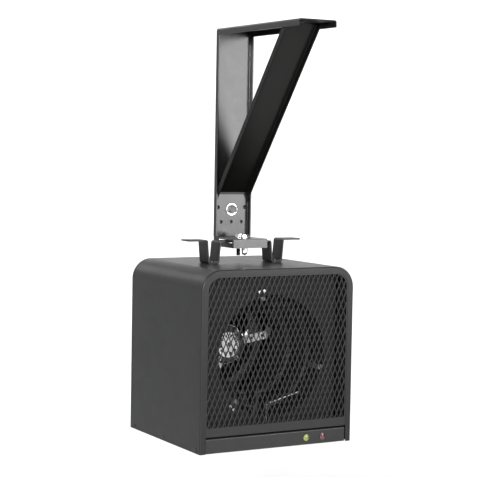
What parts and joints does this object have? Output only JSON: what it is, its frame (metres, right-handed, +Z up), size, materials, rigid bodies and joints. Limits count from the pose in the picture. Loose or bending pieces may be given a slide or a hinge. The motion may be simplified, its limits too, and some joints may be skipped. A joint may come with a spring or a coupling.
{
  "type": "ceiling mounted fan heater",
  "caption": "Square sheet metal fan heater with a mesh front, hung by a swivel strap under a triangular channel bracket for the ceiling.",
  "frame": {"origin": "centre of the four ceiling screw holes, on the top face of the bracket's bar", "axes": "+X to the right seen from the front, +Y to the back, +Z up towards the ceiling"},
  "size_m": [0.3332, 0.435, 0.8175],
  "materials": {
    "bracket_coat": "satin black powder coat",
    "cabinet_coat": "satin dark grey powder coat",
    "mesh_coat": "satin dark grey powder coat",
    "zinc": "bright zinc plate",
    "grey_bolt": "dull zinc plate",
    "black_screw": "black oxide",
    "galvanised": "matt dark coat",
    "alloy": "cast and sheet aluminium",
    "fan_coat": "matt dark coat",
    "element_steel": "heat darkened sheath",
    "ceramic_white": "glazed",
    "nickel": "nickel plate",
    "steel_plain": "ground steel",
    "bronze": "sintered bronze",
    "stator_dark": "varnished laminations and winding",
    "black_plastic": "moulded, fine grain",
    "fibre": "fibre washer",
    "lamp_green": "clear yellow-green lens",
    "lamp_red": "clear red lens",
    "ivory_plastic": "moulded"
  },
  "bodies": {
    "bracket": {"ceiling_arm": "bracket_coat", "arm_brace": "bracket_coat", "brace_rivets": "bracket_coat", "swivel_tray": "bracket_coat", "tray_bolt": "grey_bolt", "tray_washer": "zinc", "tray_nut": "zinc", "pivot_bolt": "zinc", "pivot_nut": "zinc", "friction_washer": "fibre"},
    "heater": {"hanger_strap": "bracket_coat", "strap_screws": "black_screw", "strap_nuts": "zinc", "lock_bolt": "zinc", "lock_nut": "zinc", "cabinet_shell": "cabinet_coat", "base_pan": "cabinet_coat", "rear_panel": "cabinet_coat", "cabinet_screws": "black_screw", "front_frame": "cabinet_coat", "mesh_grille": "mesh_coat", "control_panel": "cabinet_coat", "partition_shelf": "galvanised", "power_lamp": "lamp_green", "heat_lamp": "lamp_red", "lamp_bodies": "black_plastic", "orifice_plate": "galvanised", "orifice_screws": "zinc", "air_duct": "galvanised", "heating_element_front": "element_steel", "heating_element_rear": "element_steel", "element_fins": "element_steel", "element_brackets": "zinc", "terminal_bushings": "ceramic_white", "thermostat_bulb": "nickel", "thermostat_body": "steel_plain", "limit_switch": "black_plastic", "terminal_block": "ivory_plastic", "lead_wires": "black_plastic", "cable_gland": "black_plastic", "gland_nut": "black_plastic", "motor_shell": "zinc", "motor_front_bell": "alloy", "motor_rear_bell": "alloy", "motor_stator": "stator_dark", "motor_bolts": "zinc", "motor_bearings": "bronze", "motor_arms": "zinc", "arm_screws": "zinc", "fan_shroud": "galvanised", "rear_guard": "nickel", "guard_screws": "grey_bolt"},
    "fan": {"motor_rotor": "steel_plain", "motor_shaft": "steel_plain", "fan_blades": "fan_coat", "fan_hub_screw": "black_screw"},
    "knob": {"thermostat_knob": "black_plastic"}
  },
  "joints": [
    {"name": "heater_swivel", "type": "hinge", "parent": "bracket", "child": "heater", "pos_m": [0, 0.1335, -0.415], "axis": [0, 0, 1], "range_deg": [-15, 15]},
    {"name": "fan_spin", "type": "hinge", "parent": "heater", "child": "fan", "pos_m": [0, 0.216, -0.625], "axis": [0, 1, 0], "continuous": true},
    {"name": "thermostat_turn", "type": "hinge", "parent": "heater", "child": "knob", "pos_m": [-0.04, 0.079, -0.806], "axis": [0, 0, 1], "range_deg": [0, 280]}
  ]
}
